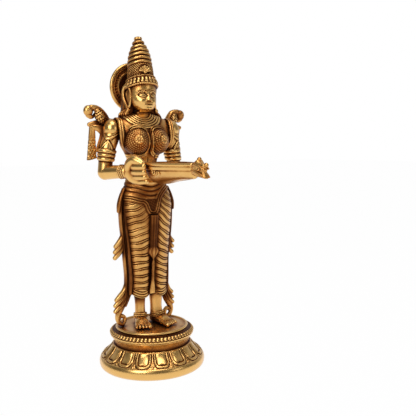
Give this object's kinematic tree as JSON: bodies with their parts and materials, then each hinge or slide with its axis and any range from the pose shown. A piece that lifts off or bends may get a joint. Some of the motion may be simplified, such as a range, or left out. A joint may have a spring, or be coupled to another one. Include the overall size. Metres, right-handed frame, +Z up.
{
  "type": "figure oil lamp",
  "caption": "Cast brass oil lamp: a standing crowned lady on a lotus pedestal holds a leaf-shaped oil dish before her, with a halo and shoulder birds.",
  "frame": {"origin": "middle of the pedestal's underside, in the plane of its foot rim", "axes": "+Z up along the pedestal's axis, -Y the way the figure looks and holds the dish, -X the figure's right hand"},
  "size_m": [0.107, 0.1425, 0.3023],
  "materials": {
    "cast_brass": "polished cast brass with dark antique patina in the hollows",
    "drawn_brass": "plain drawn rod",
    "steel": "zinc-plated"
  },
  "bodies": {
    "lamp": {"lotus_base": "cast_brass", "plinth": "cast_brass", "foot_studs": "steel", "foot_washers": "steel", "lower_body": "cast_brass", "front_sash": "cast_brass", "right_sash": "cast_brass", "left_sash": "cast_brass", "torso": "cast_brass", "waist_dowel": "drawn_brass", "head": "cast_brass", "neck_dowel": "drawn_brass", "crown": "cast_brass", "halo_disc": "cast_brass", "halo_peg": "drawn_brass", "right_arm": "cast_brass", "left_arm": "cast_brass", "shoulder_dowels": "drawn_brass", "oil_dish": "cast_brass", "dish_finial": "cast_brass", "right_bird": "cast_brass", "left_bird": "cast_brass"},
    "right_nut_body": {"right_nut": "steel"},
    "left_nut_body": {"left_nut": "steel"}
  },
  "joints": [
    {"name": "right_nut_turn", "type": "hinge", "parent": "lamp", "child": "right_nut_body", "pos_m": [-0.0092, 0.007, 0.0149], "axis": [0, 0, 1], "continuous": true},
    {"name": "left_nut_turn", "type": "hinge", "parent": "lamp", "child": "left_nut_body", "pos_m": [0.0092, 0.003, 0.0149], "axis": [0, 0, 1], "continuous": true}
  ]
}
